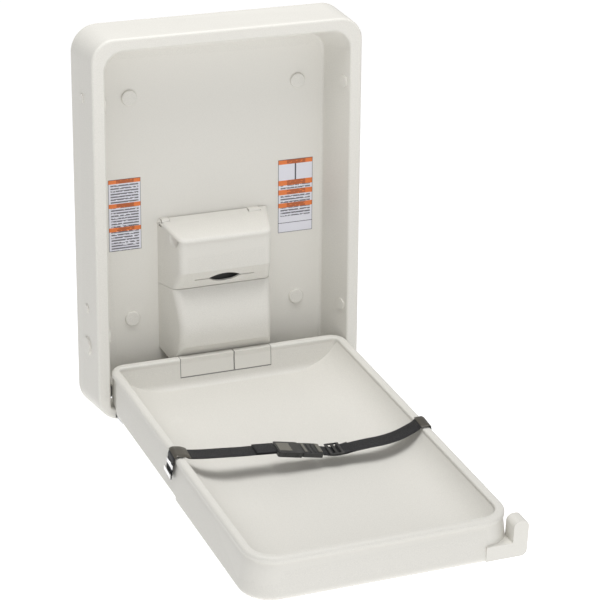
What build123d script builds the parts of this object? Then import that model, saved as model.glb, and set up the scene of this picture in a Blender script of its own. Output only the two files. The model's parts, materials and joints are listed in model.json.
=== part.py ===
from build123d import *
import math
import os

# Vertical wall-mounted changing table, drawn with its bed folded down.
# Working frame: X across the wall, Y into the wall (wall plane at y = 0), Z up from the case's
# bottom edge. Every node is written with the origin moved up to the centre of the wall holes.

# ---------------------------------------------------------------- driving dimensions, mm
CASE_W, CASE_H, CASE_D = 640.0, 890.0, 124.0   # wall case at its front rim
CASE_DRAFT = 8.0                                # how much each side grows towards the wall
CASE_R, CASE_WALL_R = 53.0, 60.0                # outer corner radii at the rim and at the wall
RIM = 28.0                                      # width of the front rim
SKIN = 4.0                                      # moulded wall of the case
RECESS_Y = -24.0                                # front face of the recess floor
RECESS_DRAFT = 26.0                             # how much each recess side narrows to its floor
RECESS_R, RECESS_FLOOR_R = 46.0, 38.0
RECESS_FILLET = 8.0
RIM_FILLET = 5.0

HOLE_X, HOLE_Z_LOW, HOLE_Z_HIGH = 203.2, 202.0, 728.0   # wall holes, 16 in across
HOLE_R = 4.75
ORIGIN_Z = (HOLE_Z_LOW + HOLE_Z_HIGH) / 2
PLATE_T = 3.0                                   # steel rails on the wall
PLATE_W, PLATE_LOW, PLATE_HIGH = 600.0, 6.0, 830.0
PLATE_RAIL = 60.0                               # width of each rail

AXIS_Y, AXIS_Z = -CASE_D - 31.0, 91.0           # bed hinge axis, along X
REST_DROP = 5.0                                 # the open bed's front hangs this many degrees
RIDGE = 118.0                                   # top of the bed's rim with the bed level
BED_REAR, BED_FRONT = -CASE_D + 32.0, -CASE_D - 870.0
BED_HALF = 289.0                                # outer half width of the rim bead
BED_R_REAR, BED_R_FRONT = 38.0, 65.0
BEAD_W, BEAD_H = 20.0, 12.0
BED_T = 92.0                                    # depth of the bed under its ridge
TRAY_DEPTH, TRAY_T = 68.0, 4.0
SHELL_T = 3.5
FLARE, FRONT_FLARE = 10.0, 10.0                 # how far the sides and the front lean out
REAR_SWEEP = 67.5                               # radius kept clear behind and below the axis
GROOVE = 3.0                                    # the shell stands back under the bead
SKIRT_Y, SKIRT_DROP, SKIRT_OUT = -570.0, 5.0, 2.0

ARM_X, ARM_T = 276.5, 5.0                       # hinge arms, centre and thickness
ARM_EYE_R, ARM_LEG, ARM_LOW, ARM_HIGH = 12.0, 20.0, 6.0, 18.0
BUSH_R, PIVOT_R, RUN_FIT = 7.0, 5.0, 0.05
CLEVIS_T, CLEVIS_GAP = 2.5, 1.0
CRANK_R, CRANK_PIN_R = 30.0, 4.0                # damper crank on each arm
SWING = 90.0 + REST_DROP                        # bed travel from open to closed, degrees
DAMPER_X, DAMPER_R = 259.5, 10.0
DAMPER_REAR, DAMPER_FRONT = -215.0, -362.0
ROD_R, PISTON_R, BORE_R = 4.0, 8.4, 8.5
YOKE_T, YOKE_PLAY, YOKE_WALL = 5.0, 1.4, 4.0

STRAP_Y, STRAP_W, STRAP_T = -548.0, 42.0, 2.0
STRAP_YAW, BUCKLE_DROOP = -4.0, 9.8            # the strap lies askew and its buckle hangs to the right

os.makedirs("parts", exist_ok=True)


# ---------------------------------------------------------------- helpers
def save(node, shape):
    """Write one node in the part's own frame, origin at the centre of the wall holes."""
    export_step(Pos(0, 0, -ORIGIN_Z) * shape, f"parts/{node}.step")


def box(x0, x1, y0, y1, z0, z1):
    """A block between two corners."""
    return Pos((x0 + x1) / 2, (y0 + y1) / 2, (z0 + z1) / 2) * Box(x1 - x0, y1 - y0, z1 - z0)


def rod(radius, x0, x1, y, z):
    """A round bar along X."""
    return Pos((x0 + x1) / 2, y, z) * Rot(0, 90, 0) * Cylinder(radius, x1 - x0)


def peg(radius, y0, y1, x, z):
    """A round bar along Y."""
    return Pos(x, (y0 + y1) / 2, z) * Rot(90, 0, 0) * Cylinder(radius, y1 - y0)


def wall_face(y, width, z0, z1, radius):
    """A rounded rectangle standing in the XZ plane at depth y."""
    return Plane.XZ.offset(-y) * Pos(0, (z0 + z1) / 2) * RectangleRounded(width, z1 - z0, radius)


def side_plate(sketch, x, thickness):
    """A sketch of (y, z) points made into a plate across x."""
    return Pos(x - thickness / 2, 0, 0) * extrude(Plane.YZ * sketch, thickness)


def mirrored(shape):
    """The same piece on the other side of the table."""
    return mirror(shape, Plane.YZ)


def at_rest(shape):
    """Turn a piece of the level bed down to its open rest angle."""
    return Pos(0, AXIS_Y, AXIS_Z) * Rot(REST_DROP, 0, 0) * Pos(0, -AXIS_Y, -AXIS_Z) * shape


def both_sides(name, shape):
    """Write a piece and its mirror image; x is positive on the right."""
    save(f"{name}_right", shape)
    save(f"{name}_left", mirrored(shape))


# ---------------------------------------------------------------- wall case
def case_block(grow):
    """The case's drafted outer form, grown or shrunk all round."""
    rim = wall_face(-CASE_D, CASE_W + 2 * grow, -grow, CASE_H + grow, CASE_R + grow)
    spread = CASE_DRAFT + grow
    wall = wall_face(0, CASE_W + 2 * spread, -spread, CASE_H + spread, CASE_WALL_R + grow)
    return loft([wall, rim])


def recess_block(grow):
    """The drafted hollow in the case's front, with square bottom corners for the bed."""
    over = 1.0
    half, floor_y = CASE_W / 2 - RIM + grow, RECESS_Y + grow
    slope = RECESS_DRAFT / (CASE_D + RECESS_Y)
    front_y = -CASE_D - over
    back_half = half - slope * (floor_y + CASE_D)
    front_half = half + slope * over
    low, high = RIM - grow, CASE_H - RIM + grow
    back_low, back_high = low + half - back_half, high - half + back_half
    back = wall_face(floor_y, 2 * back_half, back_low, back_high, RECESS_FLOOR_R + grow)
    front = wall_face(front_y, 2 * front_half, low - slope, high + slope, RECESS_R + grow)
    hollow = loft([back, front])
    floor_edges = hollow.faces().sort_by(Axis.Y)[-1].edges()
    hollow = fillet(floor_edges, RECESS_FILLET + grow)
    foot_r, foot_top = 6.0 + grow, 2.5 * RECESS_R
    foot_back = wall_face(-60.0, 2 * half - 2 * slope * 63, low, foot_top, foot_r)
    foot_front = wall_face(front_y, 2 * front_half, low, foot_top, foot_r)
    return hollow + loft([foot_back, foot_front])


def make_case():
    core_front = -CASE_D + SKIN
    hollow = case_block(-SKIN) & box(-400, 400, core_front, 10, -50, CASE_H + 50)
    behind = extrude(wall_face(-1, CASE_W, 0, CASE_H, CASE_R), -2)
    shell = case_block(0)
    rim_edges = shell.faces().sort_by(Axis.Y)[0].edges()
    shell = fillet(rim_edges, RIM_FILLET + 1)
    shell = shell - recess_block(0)
    rim_face = shell.faces().sort_by(Axis.Y)[0]
    inner = rim_face.inner_wires()[0].edges()
    shell = fillet(inner, RIM_FILLET)
    shell = shell - (hollow + behind - recess_block(SKIN))
    for x in (-ARM_X, ARM_X):
        slot = ARM_T / 2 + 2
        shell -= box(x - slot, x + slot, -CASE_D - 2, -CASE_D + 12, ARM_LOW - 1, ARM_HIGH + 1)
    for x in (-HOLE_X, HOLE_X):
        for z in (HOLE_Z_LOW, HOLE_Z_HIGH):
            shell -= peg(6, RECESS_Y - 2, RECESS_Y + SKIN + 2, x, z)
    save("wall_case", shell)


def make_frame():
    """Steel rails on the wall: two uprights with the wall holes, joined by three cross rails."""
    half = PLATE_RAIL / 2
    levels = (PLATE_LOW + half, ORIGIN_Z, PLATE_HIGH - half)
    cross, rails = Part(), Part()
    for z in levels:
        cross += box(-PLATE_W / 2, PLATE_W / 2, -PLATE_T, 0, z - half, z + half)
    for low, high in zip(levels, levels[1:]):
        for x in (-HOLE_X, HOLE_X):
            rails += box(x - half, x + half, -PLATE_T, 0, low + half, high - half)
    for x in (-HOLE_X, HOLE_X):
        for z in (HOLE_Z_LOW, HOLE_Z_HIGH):
            rails -= peg(HOLE_R, -10, 5, x, z)
    save("wall_cross_rails", cross)
    save("wall_uprights", rails)
    tubes, caps = Part(), Part()
    for x in (-HOLE_X, HOLE_X):
        for z in (HOLE_Z_LOW, HOLE_Z_HIGH):
            tube = peg(12, RECESS_Y + SKIN, -PLATE_T, x, z)
            tubes += tube - peg(6, RECESS_Y, 0, x, z)
            cap = peg(18, RECESS_Y - 5, RECESS_Y, x, z)
            caps += fillet(cap.faces().sort_by(Axis.Y)[0].edges(), 3)
    save("wall_spacers", tubes)
    save("screw_caps", caps)


def make_side_caps():
    """Caps over the case's side fixings, outside and in the recess."""
    draft = math.degrees(math.atan2(CASE_DRAFT, CASE_D))
    slope = math.degrees(math.atan2(RECESS_DRAFT, CASE_D + RECESS_Y))
    outer, inner, cover = Part(), Part(), Part()
    half = CASE_W / 2
    for z in (256.0, 749.0):
        cap = Pos(half + CASE_DRAFT / 2, -CASE_D / 2, z) * Rot(0, 0, -draft) * rod(10, 0, 3, 0, 0)
        outer += cap + mirrored(cap)
    for z in (198.0, 737.0):
        inset = 24
        x = half - RIM - inset * RECESS_DRAFT / (CASE_D + RECESS_Y)
        plug = Pos(x, inset - CASE_D, z) * Rot(0, 0, slope) * rod(13, -3, 0, 0, 0)
        inner += plug + mirrored(plug)
    disc = Pos(half + CASE_DRAFT / 2, -CASE_D / 2, 166.0) * Rot(0, 0, -draft) * rod(20, 0, 4, 0, 0)
    cover += disc + mirrored(disc)
    save("side_caps", outer)
    save("recess_plugs", inner)
    save("side_covers", cover)


# ---------------------------------------------------------------- hinge arms
def crank_point(degrees):
    """A point on the crank circle round the hinge axis, as (y, z)."""
    turn = math.radians(degrees)
    return AXIS_Y + CRANK_R * math.cos(turn), AXIS_Z + CRANK_R * math.sin(turn)


CRANK_REST = -90.0 - SWING / 2 + REST_DROP      # crank angle in the working frame
CRANK_LEVEL = CRANK_REST - REST_DROP            # the same, seen from the level bed


def make_arms():
    half, face = ARM_T / 2, -PLATE_T
    leg0, leg1 = AXIS_Y - ARM_LEG / 2, AXIS_Y + ARM_LEG / 2
    profile = Pos(AXIS_Y, AXIS_Z) * Circle(ARM_EYE_R)
    profile += Pos(AXIS_Y, (AXIS_Z + ARM_LOW) / 2) * Rectangle(ARM_LEG, AXIS_Z - ARM_LOW)
    profile += Pos((leg0 + face) / 2, (ARM_LOW + ARM_HIGH) / 2) * Rectangle(face - leg0, ARM_HIGH - ARM_LOW)
    cy, cz = crank_point(CRANK_REST)
    lug = Pos(cy, cz) * Circle(8) + Pos(leg0 + 6, cz - 4) * Circle(8)
    profile += make_hull(lug.edges())
    arm = side_plate(profile, ARM_X, ARM_T)
    arm += box(ARM_X - 14, ARM_X + 14, face - 4, face, 8, 34)
    arm -= rod(BUSH_R, ARM_X - 5, ARM_X + 5, AXIS_Y, AXIS_Z)
    arm -= rod(CRANK_PIN_R, ARM_X - 5, ARM_X + 5, cy, cz)
    both_sides("hinge_arm", arm)
    bush = rod(BUSH_R, ARM_X - half, ARM_X + half, AXIS_Y, AXIS_Z)
    both_sides("arm_bush", bush - rod(PIVOT_R + RUN_FIT, ARM_X - 5, ARM_X + 5, AXIS_Y, AXIS_Z))
    both_sides("crank_pin", rod(CRANK_PIN_R, DAMPER_X - 5, ARM_X + half, cy, cz))


# ---------------------------------------------------------------- liner dispenser and lower cover
BOX_X = -6.0                                    # the dispenser stands a little left of the middle
BOX_HALF, BOX_FRONT_HALF, BOX_Y = 134.0, 109.0, -116.0
BOX_HIGH, BOX_FRONT_HIGH = 437.0, 407.0
BOX_LOW, BOX_CHIN_Y, BOX_FRONT_LOW = 282.0, -87.0, 327.0
BOX_DRAFT = (BOX_HALF - BOX_FRONT_HALF) / (RECESS_Y - BOX_Y)
LID_T, BOX_T, LID_GAP, LID_LIP = 7.0, 3.5, 0.4, 1.5
TOP_SLOPE = (BOX_HIGH - BOX_FRONT_HIGH) / (RECESS_Y - BOX_Y)
LID_AXIS_Y, LID_AXIS_Z, LID_PIN_R = RECESS_Y - 10, 429.5, 2.0
POSTS = ((-134.0, -116.0), (78.0, 106.0))       # lid hinge posts, ends across the case
COVER_SWEEP, COVER_LOW = 70.3, 124.0            # room for the turning bed, cover's foot at the back


def plan_cut(z, front_y, grow, over=0.0):
    """A horizontal cut through the dispenser: drafted sides and rounded front corners."""
    side = BOX_HALF + grow + BOX_DRAFT * over
    half = BOX_HALF + grow - BOX_DRAFT * (RECESS_Y - front_y)
    outline = Polyline((-side, RECESS_Y + over), (side, RECESS_Y + over), (half, front_y),
                       (-half, front_y), close=True)
    flat = make_face(outline)
    flat = fillet(flat.vertices().group_by(Axis.Y)[0], 20 + grow)
    return Plane.XY.offset(z) * Pos(BOX_X, 0) * flat


def above(z_back, slope):
    """Everything above a plane that falls towards the front."""
    y0, y1 = BOX_Y - 20, RECESS_Y + 5
    z0, z1 = z_back - slope * (RECESS_Y - y0), z_back - slope * (RECESS_Y - y1)
    return side_plate(make_face(Polyline((y0, z0), (y1, z1), (y1, 520), (y0, 520), close=True)), 0, 400)


def box_form(grow, over=0.0):
    """The dispenser's form: sloping top, upright front and a chin that falls back to the floor."""
    rise, run = BOX_FRONT_LOW - BOX_LOW, BOX_CHIN_Y - BOX_Y
    slant = math.hypot(rise, run)
    chin_y = BOX_CHIN_Y - grow * (slant - run) / rise
    front_low = BOX_FRONT_LOW + grow * (rise - slant) / run
    cuts = ((BOX_LOW - grow, chin_y), (front_low, BOX_Y - grow), (BOX_HIGH + 20, BOX_Y - grow))
    form = loft([plan_cut(z, y, grow, over) for z, y in cuts], ruled=True)
    return form - above(BOX_HIGH + grow, TOP_SLOPE)


def top_edges(form):
    """The edges round the sloping top, without the one along the recess floor."""
    top = form.faces().sort_by(Axis.Z)[-1]
    return [e for e in top.edges() if e.center().Y < RECESS_Y - 2]


def hinge_posts(radius, play):
    """Blocks on the recess floor round the lid's hinge axis."""
    posts = Part()
    for x0, x1 in POSTS:
        x0, x1 = x0 - play, x1 + play
        posts += rod(radius + play, x0, x1, LID_AXIS_Y, LID_AXIS_Z)
        posts += box(x0, x1, LID_AXIS_Y - play, RECESS_Y + play, LID_AXIS_Z - 12 - play,
                     LID_AXIS_Z + radius + play)
    return posts


def make_dispenser():
    outer = box_form(0)
    outer = fillet(top_edges(outer), 9)
    inner = box_form(-BOX_T, 1.0)
    grip_y, grip_z = BOX_Y + 23, BOX_FRONT_HIGH - 3
    grip = Pos(BOX_X - BOX_HALF, grip_y, grip_z)
    hinge_room = rod(9.9, -200, 200, LID_AXIS_Y, LID_AXIS_Z)
    body = (outer - grip * Sphere(26)) - (inner - grip * Sphere(26 + BOX_T))
    body = body - above(BOX_HIGH - LID_T, TOP_SLOPE) - hinge_room
    lens_w, lens_h, slot_w, slot_h = 80.0, 28.0, 145.0, 3.0
    sagitta = lens_h / 2
    arc_r = (lens_w ** 2 / 4 + sagitta ** 2) / (2 * sagitta)
    lens = (Pos(0, arc_r - sagitta) * Circle(arc_r)) & (Pos(0, sagitta - arc_r) * Circle(arc_r))
    mouth = lens + Rectangle(slot_w, slot_h)
    chin = math.degrees(math.atan2(BOX_FRONT_LOW - BOX_LOW, BOX_CHIN_Y - BOX_Y))
    middle = ((BOX_Y + BOX_CHIN_Y) / 2, (BOX_LOW + BOX_FRONT_LOW) / 2)
    body -= Pos(BOX_X, *middle) * Rot(-chin, 0, 0) * extrude(mouth, 9, both=True)
    save("dispenser_box", body)
    lid = fillet(top_edges(box_form(LID_LIP)), 9) - inner
    lid = lid & above(BOX_HIGH - LID_T + LID_GAP, TOP_SLOPE)
    lid -= box(-200, 200, RECESS_Y - 2, RECESS_Y + 5, BOX_LOW, BOX_HIGH + 5)
    behind = box(-200, 200, LID_AXIS_Y, RECESS_Y + 5, BOX_LOW, BOX_HIGH + 20)
    lid -= behind - rod(9.2, -201, 201, LID_AXIS_Y, LID_AXIS_Z)
    (_, left), (right, _) = POSTS
    lid += rod(3.7, left + 2, right - 2, LID_AXIS_Y, LID_AXIS_Z)
    lid -= hinge_posts(7.4, 1.5)
    lid -= rod(LID_PIN_R + RUN_FIT, -200, 200, LID_AXIS_Y, LID_AXIS_Z)
    save("dispenser_lid", lid)
    save("lid_pin", rod(LID_PIN_R, POSTS[0][0], POSTS[1][1], LID_AXIS_Y, LID_AXIS_Z))
    save("lid_posts", hinge_posts(7.4, 0) - rod(LID_PIN_R, -200, 200, LID_AXIS_Y, LID_AXIS_Z))
    save("liner_stack", box(BOX_X - 92, BOX_X + 92, -64, RECESS_Y - 6, BOX_LOW + BOX_T, 395))


def cover_form(grow, over=0.0):
    """The lower cover's bulged form, flat on top and hollowed round the turning bed below."""
    stations = ((96.0, -108.0), (147.0, -112.0), (183.0, -116.5), (234.0, -107.0), (261.0, -97.0),
                (286.0, -85.0))
    form = loft([plan_cut(z, y - grow, grow, over) for z, y in stations])
    form -= rod(COVER_SWEEP - grow, -400, 400, AXIS_Y, AXIS_Z)
    form -= box(-400, 400, -200, 0, BOX_LOW - 1 + grow, 400)
    y0, y1 = -140, RECESS_Y + 5
    low = COVER_LOW - grow
    line = [(y, low - 0.4 * (RECESS_Y - y)) for y in (y0, y1)]
    foot = side_plate(make_face(Polyline(*line, (y1, 0), (y0, 0), close=True)), 0, 800)
    return form - foot


def make_cover():
    cover = cover_form(0) - cover_form(-BOX_T, 1.0)
    save("lower_cover", cover)
    bosses = Part()
    for x in (BOX_X - 100, BOX_X + 100):
        for z in (150, 240):
            bosses += peg(4, RECESS_Y - 6, RECESS_Y, x, z)
    save("cover_bosses", bosses)


def make_labels():
    """Two blank instruction plates on the recess floor."""
    save("label_left", box(-256, -179, RECESS_Y - 0.6, RECESS_Y, 370, 540))
    save("label_right", box(157, 243, RECESS_Y - 0.6, RECESS_Y, 364, 541))


# ---------------------------------------------------------------- bed
def bed_sheet(z, half, rear, front, r_rear, r_front):
    """The bed's outline in plan, with its own rear and front corner radii."""
    flat = Pos(0, (rear + front) / 2) * Rectangle(2 * half, rear - front)
    flat = fillet(flat.vertices().group_by(Axis.Y)[0], r_front)
    flat = fillet(flat.vertices().group_by(Axis.Y)[-1], r_rear)
    return Plane.XY.offset(z) * flat


def trough(grow):
    """The tray's cross profile, run along the whole bed."""
    depth = RIDGE - TRAY_DEPTH - grow
    edge, high = BED_HALF - BEAD_W + grow, RIDGE - 8.0
    over = RIDGE + 10.0
    right = Bezier((edge, high), (edge - 15, high - 34 - grow), (edge - 49, depth), (edge - 120, depth))
    left = Bezier((-edge, high), (15 - edge, high - 34 - grow), (49 - edge, depth), (120 - edge, depth))
    outline = Curve() + [right, left]
    outline += Line((edge - 120, depth), (120 - edge, depth))
    outline += Polyline((edge, high), (edge + 12, over), (-edge - 12, over), (-edge, high))
    flat = make_face(outline)
    return extrude(Plane.XZ.offset(-BED_REAR) * flat, BED_REAR - BED_FRONT)


def tray_ends(grow):
    """The tray's long profile: steep at the hinge end, sloping at the front."""
    depth, over = RIDGE - TRAY_DEPTH - grow, RIDGE + 10.0
    rear, front = BED_REAR - BEAD_W + grow, BED_FRONT + BEAD_W - grow
    outline = Polyline((rear + 12, over), (rear, RIDGE - 8), (rear - 9, depth), (front + 24, depth),
                       (front, RIDGE - 8), (front - 12, over), close=True)
    flat = make_face(outline)
    flat = fillet(flat.vertices().group_by(Axis.Y)[0], 16 + grow)
    return side_plate(flat, 0, 3 * BED_HALF)


def tray_form(grow):
    """The tray's hollow, or its outside when grown by the skin."""
    low, inset = RIDGE - TRAY_DEPTH - 10, BEAD_W + 0.5 - grow
    plan = bed_sheet(low, BED_HALF - inset, BED_REAR - inset, BED_FRONT + inset,
                     12 + grow, BED_R_FRONT - BEAD_W + grow)
    return trough(grow) & tray_ends(grow) & extrude(plan, TRAY_DEPTH + 30)


def make_tray():
    base = bed_sheet(RIDGE - BEAD_H, BED_HALF, BED_REAR, BED_FRONT, BED_R_REAR, BED_R_FRONT)
    bead = extrude(base, BEAD_H)
    bead = fillet(bead.faces().sort_by(Axis.Z)[-1].edges(), 7)
    below = box(-400, 400, BED_FRONT - 50, 0, -50, RIDGE - 1)
    tray = bead + (tray_form(TRAY_T) & below)
    tray -= tray_form(0)
    inner = tray.faces().sort_by(Axis.Z)[-1].inner_wires()[0].edges()
    tray = fillet(inner, 5)
    for tool in (hinge_cover_form(0.4, -1), hinge_cover_form(0.4, 1)):
        tray -= tool
    save("bed_tray", at_rest(tray))


COVER_SPLIT, COVER_EDGE, COVER_DEPTH = 12.0, 112.0, 46.0


def hinge_cover_form(grow, side):
    """One of the two saddle covers let into the tray's hinge-end wall."""
    x0, x1 = (-COVER_EDGE - 8, COVER_SPLIT - 0.5) if side < 0 else (COVER_SPLIT + 0.5, COVER_EDGE - 8)
    block = box(x0 - grow, x1 + grow, BED_REAR - BEAD_W - 12 - grow, BED_REAR - 6 + grow,
                RIDGE - COVER_DEPTH - grow, RIDGE + 1)
    return block


def make_hinge_covers():
    """Saddle covers flush with the bead and the end wall."""
    base = bed_sheet(RIDGE - COVER_DEPTH, BED_HALF, BED_REAR, BED_FRONT, BED_R_REAR, BED_R_FRONT)
    solid = extrude(base, COVER_DEPTH)
    solid = fillet(solid.faces().sort_by(Axis.Z)[-1].edges(), 7)
    solid = solid - tray_form(0)
    inner = box(-200, 200, BED_REAR - BEAD_W + 3.5, BED_REAR - 3, 0, RIDGE - 9)
    for name, side in (("hinge_cover_left", -1), ("hinge_cover_right", 1)):
        save(name, at_rest((solid - inner) & hinge_cover_form(0, side)))


def shell_form(grow, drop, out):
    """The bed's outer shell from the groove under the bead to its flared bottom."""
    top_z, low_z = RIDGE - BEAD_H, RIDGE - BED_T - drop
    half = BED_HALF - GROOVE + grow
    rear, front = BED_REAR - GROOVE + grow, BED_FRONT + GROOVE - grow
    top = bed_sheet(top_z, half, rear, front, BED_R_REAR - GROOVE + grow, BED_R_FRONT - GROOVE + grow)
    low = bed_sheet(low_z - grow, half + FLARE + out, rear, front - FRONT_FLARE - out,
                    BED_R_REAR - GROOVE + grow, BED_R_FRONT + 4 + grow)
    form = loft([low, top])
    return fillet(form.faces().sort_by(Axis.Z)[0].edges(), 13 + grow)


def rear_clearance(grow):
    """What the shell gives up at the hinge end, so that it turns inside the case."""
    corner = box(-400, 400, AXIS_Y, 0, -60, AXIS_Z)
    corner -= rod(REAR_SWEEP + grow, -400, 400, AXIS_Y, AXIS_Z)
    wide, narrow = BED_HALF + FLARE + 6, BED_HALF - GROOVE - 4 + grow
    flank = Polyline((narrow, 0), (narrow, -CASE_D - 8), (wide, -CASE_D - 90), (500, -CASE_D - 90),
                     (500, 0), close=True)
    side = extrude(Plane.XY.offset(-60) * make_face(flank), 300)
    return corner + side + mirrored(side)


def make_shell():
    outer = shell_form(0, 0, 0)
    skirt = shell_form(0, SKIRT_DROP, SKIRT_OUT) & box(-400, 400, -1200, SKIRT_Y, -60, 200)
    outer = outer + skirt - rear_clearance(0)
    inner = shell_form(-SHELL_T, 0, 0) - rear_clearance(-SHELL_T)
    mouth = bed_sheet(RIDGE - BEAD_H - 1, BED_HALF - GROOVE - SHELL_T, BED_REAR - GROOVE - SHELL_T,
                      BED_FRONT + GROOVE + SHELL_T, BED_R_REAR - 6, BED_R_FRONT - 6)
    shell = outer - inner - extrude(mouth, 5)
    slot_half = ARM_T / 2 + 2
    for x in (-ARM_X, ARM_X):
        shell -= box(x - slot_half, x + slot_half, AXIS_Y - ARM_LEG / 2 - 8, BED_REAR + 20, -20,
                     AXIS_Z + ARM_LEG / 2 + 3)
    save("bed_shell", at_rest(shell))


def make_hook():
    """The bag hook at the front right corner: an upright with a gap behind it."""
    low = RIDGE - BED_T
    y0, y1 = BED_FRONT - FRONT_FLARE + 1, BED_FRONT + 28
    x0, x1, thick, base_h, high = BED_HALF - 65, BED_HALF + 28, 34.0, 34.0, RIDGE - 9
    outline = Polyline((x0, low), (x1, low), (x1, high), (x1 - thick, high), (x1 - thick, low + base_h),
                       (x0, low + base_h), close=True)
    flat = make_face(outline)
    tips = [v for v in flat.vertices() if v.Y > high - 1]
    flat = fillet(tips, 14)
    foot = [v for v in flat.vertices() if v.Y < low + 1 and v.X > x1 - 1]
    flat = fillet(foot, 13)
    hook = extrude(Plane.XZ.offset(-y1) * flat, y1 - y0)
    return hook - shell_form(0, 0, 0) - shell_form(0, SKIRT_DROP, SKIRT_OUT)


def make_brackets():
    """Clevises on the bed with their pins, and the bar that joins them."""
    floor = RIDGE - BED_T + SHELL_T
    pivot0, pivot1 = ARM_X - ARM_T / 2 - CLEVIS_GAP, ARM_X + ARM_T / 2 + CLEVIS_GAP
    plate = Pos(AXIS_Y, AXIS_Z) * Circle(11)
    plate += Pos(AXIS_Y - 36, AXIS_Z) * Rectangle(72, 22)
    plate += Pos(AXIS_Y - 60, (AXIS_Z + floor) / 2) * Rectangle(24, AXIS_Z - floor)
    clevis = side_plate(plate, pivot0 - CLEVIS_T / 2, CLEVIS_T)
    clevis += side_plate(plate, pivot1 + CLEVIS_T / 2, CLEVIS_T)
    clevis += box(pivot0, pivot1, AXIS_Y - 72, AXIS_Y - 50, floor, 50)
    clevis -= rod(PIVOT_R, 240, 300, AXIS_Y, AXIS_Z)
    save("hinge_bracket_right", at_rest(clevis))
    save("hinge_bracket_left", at_rest(mirrored(clevis)))
    pin = rod(PIVOT_R, pivot0 - CLEVIS_T, pivot1 + CLEVIS_T, AXIS_Y, AXIS_Z)
    save("pivot_pin_right", at_rest(pin))
    save("pivot_pin_left", at_rest(mirrored(pin)))
    reach = pivot0 - CLEVIS_T
    bar = box(-reach, reach, AXIS_Y - 72, AXIS_Y - 48, floor, floor + 14)
    bar -= box(-reach - 5, reach + 5, AXIS_Y - 70, AXIS_Y - 50, floor + 2, floor + 12)
    save("bed_cross_bar", at_rest(bar))


def make_dampers():
    """A damper in each flank: body and cradle on the bed, rod with a slotted yoke on the crank pin."""
    floor = RIDGE - BED_T + SHELL_T
    cy, cz = crank_point(CRANK_LEVEL)
    lift = CRANK_R * (1 + math.cos(math.radians(SWING / 2))) / 2
    line_z = AXIS_Z - lift
    body = peg(DAMPER_R, DAMPER_FRONT, DAMPER_REAR, DAMPER_X, line_z)
    body -= peg(BORE_R, DAMPER_FRONT + 4, DAMPER_REAR - 6, DAMPER_X, line_z)
    body -= peg(ROD_R + RUN_FIT, DAMPER_REAR - 8, DAMPER_REAR + 2, DAMPER_X, line_z)
    slot_half = CRANK_PIN_R + YOKE_PLAY
    top = AXIS_Z - CRANK_R * math.cos(math.radians(SWING / 2)) + CRANK_PIN_R + 1
    low = AXIS_Z - CRANK_R - CRANK_PIN_R - 1
    x0, x1 = DAMPER_X - YOKE_T / 2, DAMPER_X + YOKE_T / 2
    yoke = box(x0, x1, cy - slot_half - YOKE_WALL, cy + slot_half + YOKE_WALL,
               low - YOKE_WALL, top + YOKE_WALL)
    yoke -= box(x0 - 1, x1 + 1, cy - slot_half, cy + slot_half, low, top)
    tail = peg(ROD_R, DAMPER_REAR - 100, cy - slot_half, DAMPER_X, line_z)
    piston = peg(PISTON_R, DAMPER_REAR - 106, DAMPER_REAR - 96, DAMPER_X, line_z)
    cradle = box(DAMPER_X - 13, DAMPER_X + 13, -310, -290, floor, line_z + 5)
    cradle += box(DAMPER_X - 13, DAMPER_X + 13, -250, -230, floor, line_z + 5)
    cradle -= peg(DAMPER_R + RUN_FIT, -320, -220, DAMPER_X, line_z)
    for name, shape in (("damper_body", body), ("damper_rod", yoke + tail + piston),
                        ("damper_cradle", cradle)):
        save(f"{name}_right", at_rest(shape))
        save(f"{name}_left", at_rest(mirrored(shape)))


# ---------------------------------------------------------------- strap
def ribbon(points, thickness):
    """A flat band along (x, z) points, its underside on the points, as wide as the strap."""
    top = []
    for i, (x, z) in enumerate(points):
        x0, z0 = points[max(i - 1, 0)]
        x1, z1 = points[min(i + 1, len(points) - 1)]
        length = math.hypot(x1 - x0, z1 - z0)
        top.append((x - (z1 - z0) / length * thickness, z + (x1 - x0) / length * thickness))
    outline = Polyline(*points, *reversed(top), close=True)
    return extrude(Plane.XZ.offset(-(STRAP_Y + STRAP_W / 2)) * make_face(outline), STRAP_W)


BUCKLE_LEFT, BUCKLE_RIGHT, BUCKLE_X, BUCKLE_Z = -60.0, 44.0, -8.0, 90.0


def strapped(shape, droop=0.0):
    """Turn a strap piece askew across the bed, a buckle piece also down to the right."""
    hung = Pos(BUCKLE_X, 0, BUCKLE_Z) * Rot(0, droop, 0) * Pos(-BUCKLE_X, 0, -BUCKLE_Z) * shape
    return at_rest(Pos(0, STRAP_Y, 0) * Rot(0, 0, STRAP_YAW) * Pos(0, -STRAP_Y, 0) * hung)


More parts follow.
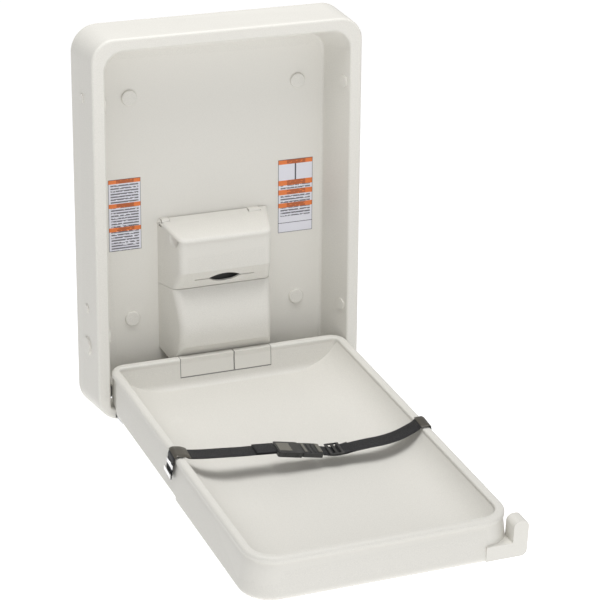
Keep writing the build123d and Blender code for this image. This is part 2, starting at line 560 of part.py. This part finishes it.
def make_straps():
    edge = BED_HALF
    wrap = [(-edge - 7.6, RIDGE - 50), (-edge - 3.4, RIDGE - 20), (-edge - 2.8, RIDGE - 7.5),
            (-edge - 0.6, RIDGE - 1.5), (-edge + 4.4, RIDGE + 1.6), (-edge + 9, RIDGE + 1.2)]
    left = [(-267, 117.3), (-256, 112), (-225, 108), (-180, 105), (-135, 102), (-108, 101), (-61.2, 98.5)]
    right = [(-269, 118.4), (-260, 111), (-224, 95), (-189, 87), (-154, 84), (-119, 80), (-96, 76),
             (-72, 75), (-45.2, 80)]
    save("strap_left", strapped(ribbon(wrap + left, STRAP_T)))
    save("strap_right", strapped(mirrored(ribbon(wrap + right, STRAP_T))))
    y0, y1 = STRAP_Y - STRAP_W / 2, STRAP_Y + STRAP_W / 2
    floor = BUCKLE_Z - 6
    female = box(BUCKLE_LEFT, -4, y0 - 4, y1 + 4, floor, floor + 12)
    female = fillet(female.edges().filter_by(Axis.Z), 4)
    female -= box(-44, -3, y0 + 0.5, y1 - 0.5, floor + 2.5, floor + 9.5)
    female -= box(-42, -16, y0 - 6, y1 + 6, floor + 2.5, floor + 9.5)
    save("buckle_socket", strapped(female, BUCKLE_DROOP))
    male = box(-3.6, BUCKLE_RIGHT, y0 - 3, y1 + 3, floor + 1, floor + 11)
    male = fillet(male.edges().filter_by(Axis.Z), 4)
    male += box(-43, -3, STRAP_Y - 8, STRAP_Y + 8, floor + 3, floor + 9)
    save("buckle_plug", strapped(male, BUCKLE_DROOP))
    for name, sign in (("buckle_prong_front", -1), ("buckle_prong_rear", 1)):
        y_in, y_out = STRAP_Y + sign * 12.0, STRAP_Y + sign * (STRAP_W / 2 + 3.6)
        prong = box(-41, -17, min(y_in, y_out), max(y_in, y_out), floor + 3, floor + 9)
        save(name, strapped(prong, BUCKLE_DROOP))
    slider_z = 80.0
    slider = box(60, 92, y0 - 3, y1 + 3, slider_z, slider_z + 3)
    slider -= box(66, 73, y0, y1, 0, 200)
    slider -= box(79, 86, y0, y1, 0, 200)
    save("strap_slider", strapped(slider))
    clip = box(-edge - 12.4, -edge - 10.2, y0 - 2, y1 + 2, RIDGE - 46, RIDGE - 36)
    save("strap_clip_left", strapped(clip))
    save("strap_clip_right", strapped(mirrored(clip)))


# ---------------------------------------------------------------- the whole table
make_case()
make_frame()
make_side_caps()
make_arms()
make_dispenser()
make_cover()
make_labels()
make_tray()
make_hinge_covers()
make_shell()
save("bag_hook", at_rest(make_hook()))
make_brackets()
make_dampers()
make_straps()
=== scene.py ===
import json
import math

import bpy
from mathutils import Matrix, Vector


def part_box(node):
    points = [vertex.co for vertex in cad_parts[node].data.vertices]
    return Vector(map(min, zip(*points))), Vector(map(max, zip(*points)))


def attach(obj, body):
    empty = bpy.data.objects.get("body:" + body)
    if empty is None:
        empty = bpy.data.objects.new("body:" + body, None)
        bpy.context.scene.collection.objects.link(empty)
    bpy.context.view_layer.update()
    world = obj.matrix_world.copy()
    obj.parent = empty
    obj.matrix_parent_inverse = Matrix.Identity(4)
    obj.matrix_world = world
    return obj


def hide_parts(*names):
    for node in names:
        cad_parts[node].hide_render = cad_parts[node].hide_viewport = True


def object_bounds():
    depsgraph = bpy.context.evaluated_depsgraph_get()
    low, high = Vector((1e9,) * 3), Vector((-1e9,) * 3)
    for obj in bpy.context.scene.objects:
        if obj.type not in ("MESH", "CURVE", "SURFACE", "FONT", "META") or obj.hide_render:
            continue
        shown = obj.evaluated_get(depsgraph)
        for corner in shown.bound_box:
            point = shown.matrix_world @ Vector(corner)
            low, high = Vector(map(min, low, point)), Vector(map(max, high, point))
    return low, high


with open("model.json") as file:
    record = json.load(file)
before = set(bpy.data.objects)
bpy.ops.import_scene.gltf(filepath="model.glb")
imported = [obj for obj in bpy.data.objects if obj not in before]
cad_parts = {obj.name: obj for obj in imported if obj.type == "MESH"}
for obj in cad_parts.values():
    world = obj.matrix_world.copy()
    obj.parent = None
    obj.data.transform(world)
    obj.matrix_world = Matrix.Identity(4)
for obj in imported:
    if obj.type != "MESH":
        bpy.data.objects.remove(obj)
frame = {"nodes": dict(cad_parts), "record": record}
cad_low, cad_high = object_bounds()

# ---------------------------------------------------------------- camera
# The camera aims at a point in the plane of the case's front rim, 124 mm out from the wall.
YAW, PITCH, ROLL = 22.44, 19.95, 0.33                  # degrees
AIM, DISTANCE = Vector((0.13182, -0.124, -0.17336)), 5.51927
SENSOR, LENS = 36.0, 143.8662
SHIFT_X, SHIFT_Y = 0.0266667, -0.0378167
FAR_CLIP = 200.0


def make_camera():
    """A long lens, looking down from in front and from the left, with a slight roll."""
    yaw, pitch, roll = (math.radians(a) for a in (YAW, PITCH, ROLL))
    ahead = Vector((math.sin(yaw) * math.cos(pitch), math.cos(yaw) * math.cos(pitch), -math.sin(pitch)))
    right = Vector((math.cos(yaw), -math.sin(yaw), 0.0))
    up = right.cross(ahead)
    turned_right = right * math.cos(roll) + up * math.sin(roll)
    turned_up = up * math.cos(roll) - right * math.sin(roll)
    data = bpy.data.cameras.new("camera")
    data.sensor_width, data.lens = SENSOR, LENS
    data.shift_x, data.shift_y = SHIFT_X, SHIFT_Y
    data.clip_end = FAR_CLIP
    camera = bpy.data.objects.new("camera", data)
    bpy.context.collection.objects.link(camera)
    axes = Matrix((turned_right, turned_up, -ahead)).transposed()
    camera.matrix_world = Matrix.Translation(AIM - ahead * DISTANCE) @ axes.to_4x4()
    bpy.context.scene.camera = camera


make_camera()


# ---------------------------------------------------------------- light and floor
AMBIENT = 0.30                                         # strength of the white surroundings
FLOOR_DROP, FLOOR_HALF = 0.9, 120.0                    # floor below the object, half its side
FLOOR_WHITE, FLOOR_GLOW = 0.9, 0.75


def area_light(name, place, aim, size, power):
    """A square white light, turned towards its aim."""
    data = bpy.data.lights.new(name, "AREA")
    data.shape, data.size, data.energy = "SQUARE", size, power
    light = bpy.data.objects.new(name, data)
    light.location = place
    light.rotation_euler = (Vector(aim) - Vector(place)).to_track_quat("-Z", "Y").to_euler()
    bpy.context.collection.objects.link(light)


def make_stage():
    """White surroundings and a pale floor that glows a little, so that it stays white."""
    world = bpy.data.worlds.new("world")
    world.use_nodes = True
    background = world.node_tree.nodes["Background"]
    background.inputs["Color"].default_value = (1, 1, 1, 1)
    background.inputs["Strength"].default_value = AMBIENT
    bpy.context.scene.world = world
    mesh = bpy.data.meshes.new("floor")
    half, z = FLOOR_HALF, cad_low[2] - FLOOR_DROP
    corners = [(-half, -half, z), (half, -half, z), (half, half, z), (-half, half, z)]
    mesh.from_pydata(corners, [], [(0, 1, 2, 3)])
    floor = bpy.data.objects.new("floor", mesh)
    bpy.context.collection.objects.link(floor)
    material = bpy.data.materials.new("floor")
    material.use_nodes = True
    shader = material.node_tree.nodes["Principled BSDF"]
    shader.inputs["Base Color"].default_value = (FLOOR_WHITE, FLOOR_WHITE, FLOOR_WHITE, 1)
    shader.inputs["Roughness"].default_value = 1.0
    shader.inputs["Emission Color"].default_value = (1, 1, 1, 1)
    shader.inputs["Emission Strength"].default_value = FLOOR_GLOW
    mesh.materials.append(material)


bpy.context.scene.view_settings.view_transform = "Standard"
make_stage()
area_light("key", place=(-0.1, -0.72, 3.3), aim=(0, -0.6, -0.4), size=2.0, power=104)
area_light("front", place=(-0.3, -4.5, 0.8), aim=(0, -0.3, 0), size=2.5, power=40)


# ---------------------------------------------------------------- materials
class Paint:
    """A material under construction: short calls for its nodes and links."""

    def __init__(self, name):
        self.material = bpy.data.materials.new(name)
        self.material.use_nodes = True
        self.tree = self.material.node_tree
        self.shader = self.tree.nodes["Principled BSDF"]
        self.place = self.tree.nodes.new("ShaderNodeTexCoord").outputs["Object"]

    def link(self, source, target):
        self.tree.links.new(source, target)

    def math(self, kind, a, b=0.0):
        node = self.tree.nodes.new("ShaderNodeMath")
        node.operation = kind
        for socket, value in zip(node.inputs, (a, b)):
            if isinstance(value, float):
                socket.default_value = value
            else:
                self.link(value, socket)
        return node.outputs[0]

    def noise(self, scale, detail=2.0, stretch=(1, 1, 1)):
        shift = self.tree.nodes.new("ShaderNodeMapping")
        shift.inputs["Scale"].default_value = stretch
        self.link(self.place, shift.inputs["Vector"])
        node = self.tree.nodes.new("ShaderNodeTexNoise")
        node.inputs["Scale"].default_value = scale
        node.inputs["Detail"].default_value = detail
        self.link(shift.outputs["Vector"], node.inputs["Vector"])
        return node.outputs["Fac"]

    def mix(self, factor, a, b):
        node = self.tree.nodes.new("ShaderNodeMix")
        node.data_type = "RGBA"
        self.link(factor, node.inputs["Factor"])
        for socket, value in ((node.inputs["A"], a), (node.inputs["B"], b)):
            if isinstance(value, tuple):
                socket.default_value = (*value, 1)
            else:
                self.link(value, socket)
        return node.outputs["Result"]

    def between(self, factor, low, high):
        node = self.tree.nodes.new("ShaderNodeMapRange")
        self.link(factor, node.inputs["Value"])
        node.inputs["To Min"].default_value = low
        node.inputs["To Max"].default_value = high
        return node.outputs["Result"]

    def bump(self, height, strength, distance):
        node = self.tree.nodes.new("ShaderNodeBump")
        node.inputs["Strength"].default_value = strength
        node.inputs["Distance"].default_value = distance
        self.link(height, node.inputs["Height"])
        self.link(node.outputs["Normal"], self.shader.inputs["Normal"])

    def colour(self, source):
        self.link(source, self.shader.inputs["Base Color"])

    def rough(self, source):
        self.link(source, self.shader.inputs["Roughness"])

    def set(self, socket, value):
        self.shader.inputs[socket].default_value = value

    def axes(self):
        """The point's X, Y and Z, in metres in the shared frame."""
        split = self.tree.nodes.new("ShaderNodeSeparateXYZ")
        self.link(self.place, split.inputs[0])
        return split.outputs

    def all_of(self, *masks):
        product = masks[0]
        for mask in masks[1:]:
            product = self.math("MULTIPLY", product, mask)
        return product

    def off_centre(self, source, centre):
        return self.math("ABSOLUTE", self.math("SUBTRACT", source, centre))


def shade(colour, k):
    """A colour made k times as bright."""
    return tuple(min(1.0, c * k) for c in colour)


STIPPLE, CLOUD = 700.0, 6.0                            # noise scales, per metre
WORN_EDGE, WEAR = 0.56, 0.5                            # how sharp an edge wears, and how much


def moulded_paint(name, colour, rough=0.5, grain=0.00008, worn=1.04):
    """Moulded plastic: fine stipple, faint speckle and cloudiness, slightly paler worn edges."""
    p = Paint(name)
    fine = p.noise(STIPPLE)
    cloud = p.noise(CLOUD, 3.0)
    base = p.mix(fine, shade(colour, 0.84), shade(colour, 1.14))
    base = p.mix(cloud, base, p.mix(fine, shade(colour, 0.87), shade(colour, 1.16)))
    edge = p.tree.nodes.new("ShaderNodeNewGeometry").outputs["Pointiness"]
    wear = p.math("MULTIPLY", p.math("GREATER_THAN", edge, WORN_EDGE), WEAR)
    p.colour(p.mix(wear, base, shade(colour, worn)))
    p.rough(p.between(cloud, rough - 0.05, rough + 0.08))
    p.bump(fine, 0.35, grain)
    return p


def moulded(*values):
    """The finished material of moulded_paint, which takes the same values."""
    return moulded_paint(*values).material


SEAM_END, SEAM_FOOT = 0.0011, 0.0026                   # width of the painted seam shadow, in metres
# The colour and strength of the painted shadow in the hinge covers' open seams.
SEAM_SHADOW_PAINT, SEAM_SHADOW_STRENGTH = (0.05, 0.05, 0.05), 0.75


def with_painted_seam_shadow(node, colour):
    """The bed's plastic with a painted shadow of its open seam: a dark line at both ends and along the
    bottom.
    """
    p = moulded_paint(node, colour, 0.46)
    low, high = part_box(node)
    axes = p.axes()
    off = p.off_centre(axes["X"], (low[0] + high[0]) / 2)
    ends = p.math("GREATER_THAN", off, (high[0] - low[0]) / 2 - SEAM_END)
    foot = p.math("LESS_THAN", axes["Z"], low[2] + SEAM_FOOT)
    # The dark line is painted shadow, standing in for the shade inside the seam's gap.
    seam = p.math("MULTIPLY", p.math("MAXIMUM", ends, foot), SEAM_SHADOW_STRENGTH)
    plain = p.shader.inputs["Base Color"].links[0].from_socket
    p.colour(p.mix(seam, plain, SEAM_SHADOW_PAINT))
    return p.material


def metal(name, colour, rough, stretch):
    """Plated or brushed metal with fine directional scratches."""
    p = Paint(name)
    p.set("Metallic", 1.0)
    streak = p.noise(160.0, 4.0, stretch)
    p.colour(p.mix(streak, shade(colour, 0.82), shade(colour, 1.08)))
    p.rough(p.between(streak, rough - 0.06, rough + 0.12))
    p.bump(streak, 0.15, 0.00004)
    return p.material


def woven(name, colour, rib):
    """Flat nylon webbing: ribs across the band, a fine cross thread and a soft sheen."""
    p = Paint(name)
    waves = []
    for direction, scale in (("X", rib), ("Y", rib * 1.6)):
        wave = p.tree.nodes.new("ShaderNodeTexWave")
        wave.bands_direction = direction
        wave.inputs["Scale"].default_value = scale
        wave.inputs["Distortion"].default_value = 0.4
        p.link(p.place, wave.inputs["Vector"])
        waves.append(wave.outputs["Fac"])
    weave = p.math("MULTIPLY", *waves)
    dust = p.noise(45.0)
    p.colour(p.mix(weave, shade(colour, 0.6), p.mix(dust, colour, shade(colour, 1.9))))
    p.set("Roughness", 0.62)
    p.set("Sheen Weight", 0.04)
    p.bump(weave, 0.6, 0.0003)
    return p.material


def paper(name, colour):
    """Folded paper with upright fibres."""
    p = Paint(name)
    fibre = p.noise(380.0, 5.0, (1, 1, 4))
    p.colour(p.mix(fibre, shade(colour, 0.88), shade(colour, 1.05)))
    p.set("Roughness", 0.9)
    p.bump(fibre, 0.3, 0.0001)
    return p.material


ORANGE, ORANGE_DARK = (0.74, 0.18, 0.03), (0.25, 0.05, 0.01)
PRINT_WHITE, PRINT_GREY = (0.70, 0.70, 0.76), (0.05, 0.045, 0.06)
BAND, TEXT, BLANK, PANELS, RULE = range(5)
LINE_PITCH, LINE_LEVEL = 165.0, -0.1                   # rows of bars down the label
WORD_SCALE, WORD_LEVEL = 150.0, 0.38                   # gaps along a row
MARGIN, BORDER_X, BORDER_Z = 0.07, 0.485, 0.492        # shares of the label's width and height
TITLE_MIDDLE, TITLE_HALF, DIVIDER_HALF = 0.52, 0.27, 0.02
TEXT_INK, TITLE_INK, DIVIDER_INK, BORDER_INK = 0.85, 0.65, 1.0, 0.75


def label(node, rows):
    """Printed film: orange bands, rows of plain grey bars and blank panels inside a thin border."""
    p = Paint(node)
    low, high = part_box(node)
    axes = p.axes()
    across = p.math("DIVIDE", p.math("SUBTRACT", axes["X"], low[0]), high[0] - low[0])
    down = p.math("DIVIDE", p.math("SUBTRACT", high[2], axes["Z"]), high[2] - low[2])

    def stripes(colours):
        """A colour for each row, in steps down the label."""
        ramp = p.tree.nodes.new("ShaderNodeValToRGB")
        ramp.color_ramp.interpolation = "CONSTANT"
        elements = ramp.color_ramp.elements
        while len(elements) > 1:
            elements.remove(elements[-1])
        elements[0].position, elements[0].color = 0.0, (*colours[0], 1)
        for (start, _), colour in zip(rows[1:], colours[1:]):
            elements.new(start).color = (*colour, 1)
        p.link(down, ramp.inputs["Fac"])
        return ramp.outputs["Color"]

    def only(wanted):
        """White on the rows of one kind, black elsewhere."""
        return stripes([(float(kind == wanted),) * 3 for _, kind in rows])

    def printed(base, strength, ink, *masks):
        """Ink over the base, where all the masks are white."""
        return p.mix(p.math("MULTIPLY", p.all_of(*masks), strength), base, ink)

    ground = {BAND: ORANGE, TEXT: PRINT_WHITE, BLANK: PRINT_WHITE, PANELS: PRINT_WHITE, RULE: PRINT_GREY}
    base = stripes([ground[kind] for _, kind in rows])
    line = p.math("GREATER_THAN", p.math("SINE", p.math("MULTIPLY", down, LINE_PITCH)), LINE_LEVEL)
    words = p.math("GREATER_THAN", p.noise(WORD_SCALE, 1.0, (1, 1, 2)), WORD_LEVEL)
    inside = (p.math("GREATER_THAN", across, MARGIN), p.math("LESS_THAN", across, 1 - MARGIN))
    middle = p.math("LESS_THAN", p.off_centre(across, TITLE_MIDDLE), TITLE_HALF)
    divider = p.math("LESS_THAN", p.off_centre(across, 0.5), DIVIDER_HALF)
    sides = p.math("GREATER_THAN", p.off_centre(across, 0.5), BORDER_X)
    ends = p.math("GREATER_THAN", p.off_centre(down, 0.5), BORDER_Z)
    base = printed(base, TEXT_INK, PRINT_GREY, line, words, *inside, only(TEXT))
    base = printed(base, TITLE_INK, ORANGE_DARK, middle, words, only(BAND))
    base = printed(base, DIVIDER_INK, PRINT_GREY, divider, only(PANELS))
    base = printed(base, BORDER_INK, PRINT_GREY, p.math("MAXIMUM", sides, ends))
    p.colour(base)
    p.set("Roughness", 0.35)
    p.bump(p.noise(260.0), 0.12, 0.00005)
    return p.material


GREY = (0.69, 0.675, 0.63)
FINISH = {
    "case_plastic": moulded("case_plastic", GREY),
    "bed_plastic": moulded("bed_plastic", GREY, 0.46),
    "box_plastic": moulded("box_plastic", shade(GREY, 1.01), 0.48),
    "steel": metal("steel", (0.56, 0.57, 0.58), 0.38, (1, 1, 12)),
    "bush_plastic": moulded("bush_plastic", (0.05, 0.05, 0.055), 0.4, 0.00004, 1.6),
    "damper_black": moulded("damper_black", (0.018, 0.018, 0.02), 0.28, 0.00003, 2.5),
    "damper_rod_steel": metal("damper_rod_steel", (0.75, 0.75, 0.77), 0.14, (8, 1, 8)),
    # The liner paper's dark grey is painted shade: it stands in for the shade inside the dispenser's slot.
    "liner_paper": paper("liner_paper", (0.16, 0.16, 0.155)),
    "webbing": woven("webbing", (0.004, 0.004, 0.006), 330.0),
    "buckle_plastic": moulded("buckle_plastic", (0.022, 0.022, 0.022), 0.33, 0.00004, 2.0),
    "keeper": moulded("keeper", (0.075, 0.068, 0.055), 0.3, 0.00003, 2.0),
    "panel": moulded("panel", (0.16, 0.152, 0.132), 0.4, 0.00004, 1.5),
    "clip_metal": metal("clip_metal", (0.80, 0.80, 0.80), 0.2, (1, 6, 1)),
}
# Where each row of a label starts, as a share of its height from the top, and what it holds.
LABELS = {
    "label_left": ((0.0, BAND), (0.058, TEXT), (0.335, BAND), (0.393, TEXT), (0.667, BAND), (0.725, TEXT)),
    "label_right": ((0.0, BAND), (0.06, PANELS), (0.28, BAND), (0.35, TEXT), (0.41, BAND), (0.48, TEXT),
                    (0.59, BAND), (0.655, TEXT), (0.775, BLANK), (0.86, RULE), (0.87, BLANK)),
}
for part in frame["record"]["subparts"]:
    name = part["node"]
    materials = frame["nodes"][name].data.materials
    materials.clear()
    if name in LABELS:
        materials.append(label(name, LABELS[name]))
    # The hinge covers get a painted shadow along their seams.
    elif name.startswith("hinge_cover"):
        materials.append(with_painted_seam_shadow(name, GREY))
    else:
        materials.append(FINISH[part["material_slot"]])


# ---------------------------------------------------------------- strap
# Drawn in millimetres on the level bed, x along the strap and z up, then laid on the open bed.
MM = 0.001
STRAP_Y, STRAP_W, STRAP_T = -548.0, 42.0, 2.0
RIDGE, EDGE = 118.0, 289.0                             # top and outer side of the bed's bead
ORIGIN_Z = 465.0                                       # the shared frame's origin above the case's foot
AXIS = Vector((0, -155.0, 91.0))                       # bed hinge
SKEW = Matrix.Rotation(math.radians(-4.0), 4, "Z")     # the strap lies askew across the bed
DROP = Matrix.Rotation(math.radians(5.0), 4, "X")      # the open bed hangs below level
BUCKLE_X, BUCKLE_Z = -8.0, 90.0
LEAN = math.radians(9.8)                               # the buckle hangs lower on its right
CLIP_T = 1.6                                           # keepers and end bars
BLOCK_EDGE, CAD_EDGE = 1.0, 1.2                        # widths of the softened edges


def laid(x, across, z):
    """A point of the strap, from the level bed to the open bed's own place, in metres."""
    pivot = Vector((0, STRAP_Y, 0))
    point = pivot + SKEW @ Vector((x, across, z))
    return (AXIS + DROP @ (point - AXIS) - Vector((0, 0, ORIGIN_Z))) * MM


def strap_piece(name, verts, faces, finish):
    """A piece that rides on the bed and stands in its material slot."""
    mesh = bpy.data.meshes.new(name)
    mesh.from_pydata(verts, [], faces)
    mesh.materials.append(FINISH[finish])
    piece = bpy.data.objects.new(name, mesh)
    bpy.context.collection.objects.link(piece)
    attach(piece, "bed")
    return piece


def smooth_path(points, steps=6):
    """A Catmull-Rom curve through the points."""
    path = []
    for i in range(len(points) - 1):
        p0, p1 = points[max(i - 1, 0)], points[i]
        p2, p3 = points[i + 1], points[min(i + 2, len(points) - 1)]
        for k in range(steps):
            t = k / steps
            path.append(tuple(0.5 * (2 * b + (c - a) * t + (2 * a - 5 * b + 4 * c - d) * t ** 2
                                     + (3 * b - a - 3 * c + d) * t ** 3)
                              for a, b, c, d in zip(p0, p1, p2, p3)))
    return path + [points[-1]]


def band(name, points, width, thick, finish, mirror=1, lift=0.0):
    """A flat band with thinned edges; its underside lies lift above the (x, z) points."""
    path = smooth_path(points)
    h, w = thick / 2, width / 2
    ring = [(-w, 0), (-w + h, h), (-w / 2, h), (0, h), (w / 2, h), (w - h, h), (w, 0),
            (w - h, -h), (w / 2, -h), (0, -h), (-w / 2, -h), (-w + h, -h)]
    verts, faces, n = [], [], len(ring)
    for i, (x, z) in enumerate(path):
        a, b = path[max(i - 1, 0)], path[min(i + 1, len(path) - 1)]
        dx, dz = b[0] - a[0], b[1] - a[1]
        size = math.hypot(dx, dz)
        nx, nz = -dz / size, dx / size
        for across, up in ring:
            up += h + lift
            verts.append(laid(mirror * (x + nx * up), across, z + nz * up))
    for i in range(len(path) - 1):
        for k in range(n):
            quad = (i * n + k, i * n + (k + 1) % n, (i + 1) * n + (k + 1) % n, (i + 1) * n + k)
            faces.append(quad if mirror < 0 else quad[::-1])
    first, last = tuple(range(n)), tuple(range(len(verts) - n, len(verts)))
    faces += [first[::-1], last] if mirror < 0 else [first, last[::-1]]
    piece = strap_piece(name, verts, faces, finish)
    piece.data.shade_smooth()
    return piece


def soften(piece, width):
    """Rounds the piece's edges and returns the modifier that does it."""
    bevel = piece.modifiers.new("edges", "BEVEL")
    bevel.width, bevel.segments = width * MM, 3
    return bevel


def block(name, x0, x1, across, z0, z1, finish):
    """A bevelled block across the strap, placed before the buckle's lean."""
    verts = []
    for x in (x0, x1):
        for y in (-across, across):
            for z in (z0, z1):
                dx, dz = x - BUCKLE_X, z - BUCKLE_Z
                verts.append(laid(BUCKLE_X + dx * math.cos(LEAN) + dz * math.sin(LEAN), y,
                                  BUCKLE_Z - dx * math.sin(LEAN) + dz * math.cos(LEAN)))
    faces = [(0, 1, 3, 2), (4, 6, 7, 5), (0, 4, 5, 1), (2, 3, 7, 6), (0, 2, 6, 4), (1, 5, 7, 3)]
    piece = strap_piece(name, verts, faces, finish)
    soften(piece, BLOCK_EDGE)


# Both ends go round the bead; from there each length hangs to the buckle. Right is drawn mirrored.
WRAP = [(-EDGE - 7.6, RIDGE - 50), (-EDGE - 3.6, RIDGE - 20), (-EDGE - 2.9, RIDGE - 7.5),
        (-EDGE - 0.8, RIDGE - 1.2), (-EDGE + 4.4, RIDGE + 1.6), (-EDGE + 9, RIDGE + 1.3)]
LEFT = [(-267, 117.3), (-256, 112), (-225, 108), (-180, 105), (-135, 102), (-108, 101), (-61.2, 98.5)]
RIGHT = [(-269, 118.4), (-260, 111), (-224, 95), (-189, 87), (-154, 84), (-119, 80), (-96, 76), (-72, 75),
         (-45.2, 80)]
TAIL = [(-112, 79.4), (-96, 76), (-84, 75.3)]
BAR = [(-EDGE - 4.2, RIDGE - 26), (-EDGE - 3.4, RIDGE - 16)]
ON_TOP = STRAP_T + 0.2                                 # a second layer clears the strap


def make_strap():
    """Two lengths of webbing with folded ends, the keepers on the bead and the bright end bars."""
    left = band("strap_left_web", WRAP + LEFT, STRAP_W, STRAP_T, "webbing")
    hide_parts("strap_left")
    right = band("strap_right_web", WRAP + RIGHT, STRAP_W, STRAP_T, "webbing", -1)
    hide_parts("strap_right")
    wide, slot = STRAP_W + 5, "buckle_plastic"
    band("keeper_left", WRAP[3:] + LEFT[:2], wide, CLIP_T, "keeper", 1, ON_TOP)
    band("keeper_right", WRAP[3:] + RIGHT[:1], wide, CLIP_T, "keeper", -1, ON_TOP)
    band("strap_fold_left", LEFT[5:], STRAP_W - 1, 2 * STRAP_T, "webbing", 1, ON_TOP)
    band("strap_tail", TAIL, STRAP_W, STRAP_T, "webbing", -1, ON_TOP + 0.2)
    for side, mirror in (("left", 1), ("right", -1)):
        band("bar_" + side, BAR, STRAP_W + 4, CLIP_T, "clip_metal", mirror, ON_TOP)


def make_buckle():
    """Raised details on the buckle, one of them pale as a painted highlight, and softer edges on its CAD
    pieces.
    """
    block("buckle_panel", -56, -27, 17, 95.6, 97.4, "panel")
    block("buckle_ridge_1", 2, 8, 19, 94.6, 97.2, "panel")
    block("buckle_ridge_2", 14, 18, 20, 94.6, 96.6, "buckle_plastic")
    block("buckle_ridge_3", 24, 28, 20, 94.6, 96.6, "buckle_plastic")
    # The mouth block's pale panel colour is a painted highlight on the dark buckle.
    block("buckle_mouth_painted_highlight", 34, 43, 18, 94.4, 98.0, "panel")
    for name in ("buckle_socket", "buckle_plug", "buckle_prong_front", "buckle_prong_rear",
                 "strap_slider", "strap_clip_left", "strap_clip_right"):
        soften(frame["nodes"][name], CAD_EDGE).limit_method = "ANGLE"


make_strap()
make_buckle()
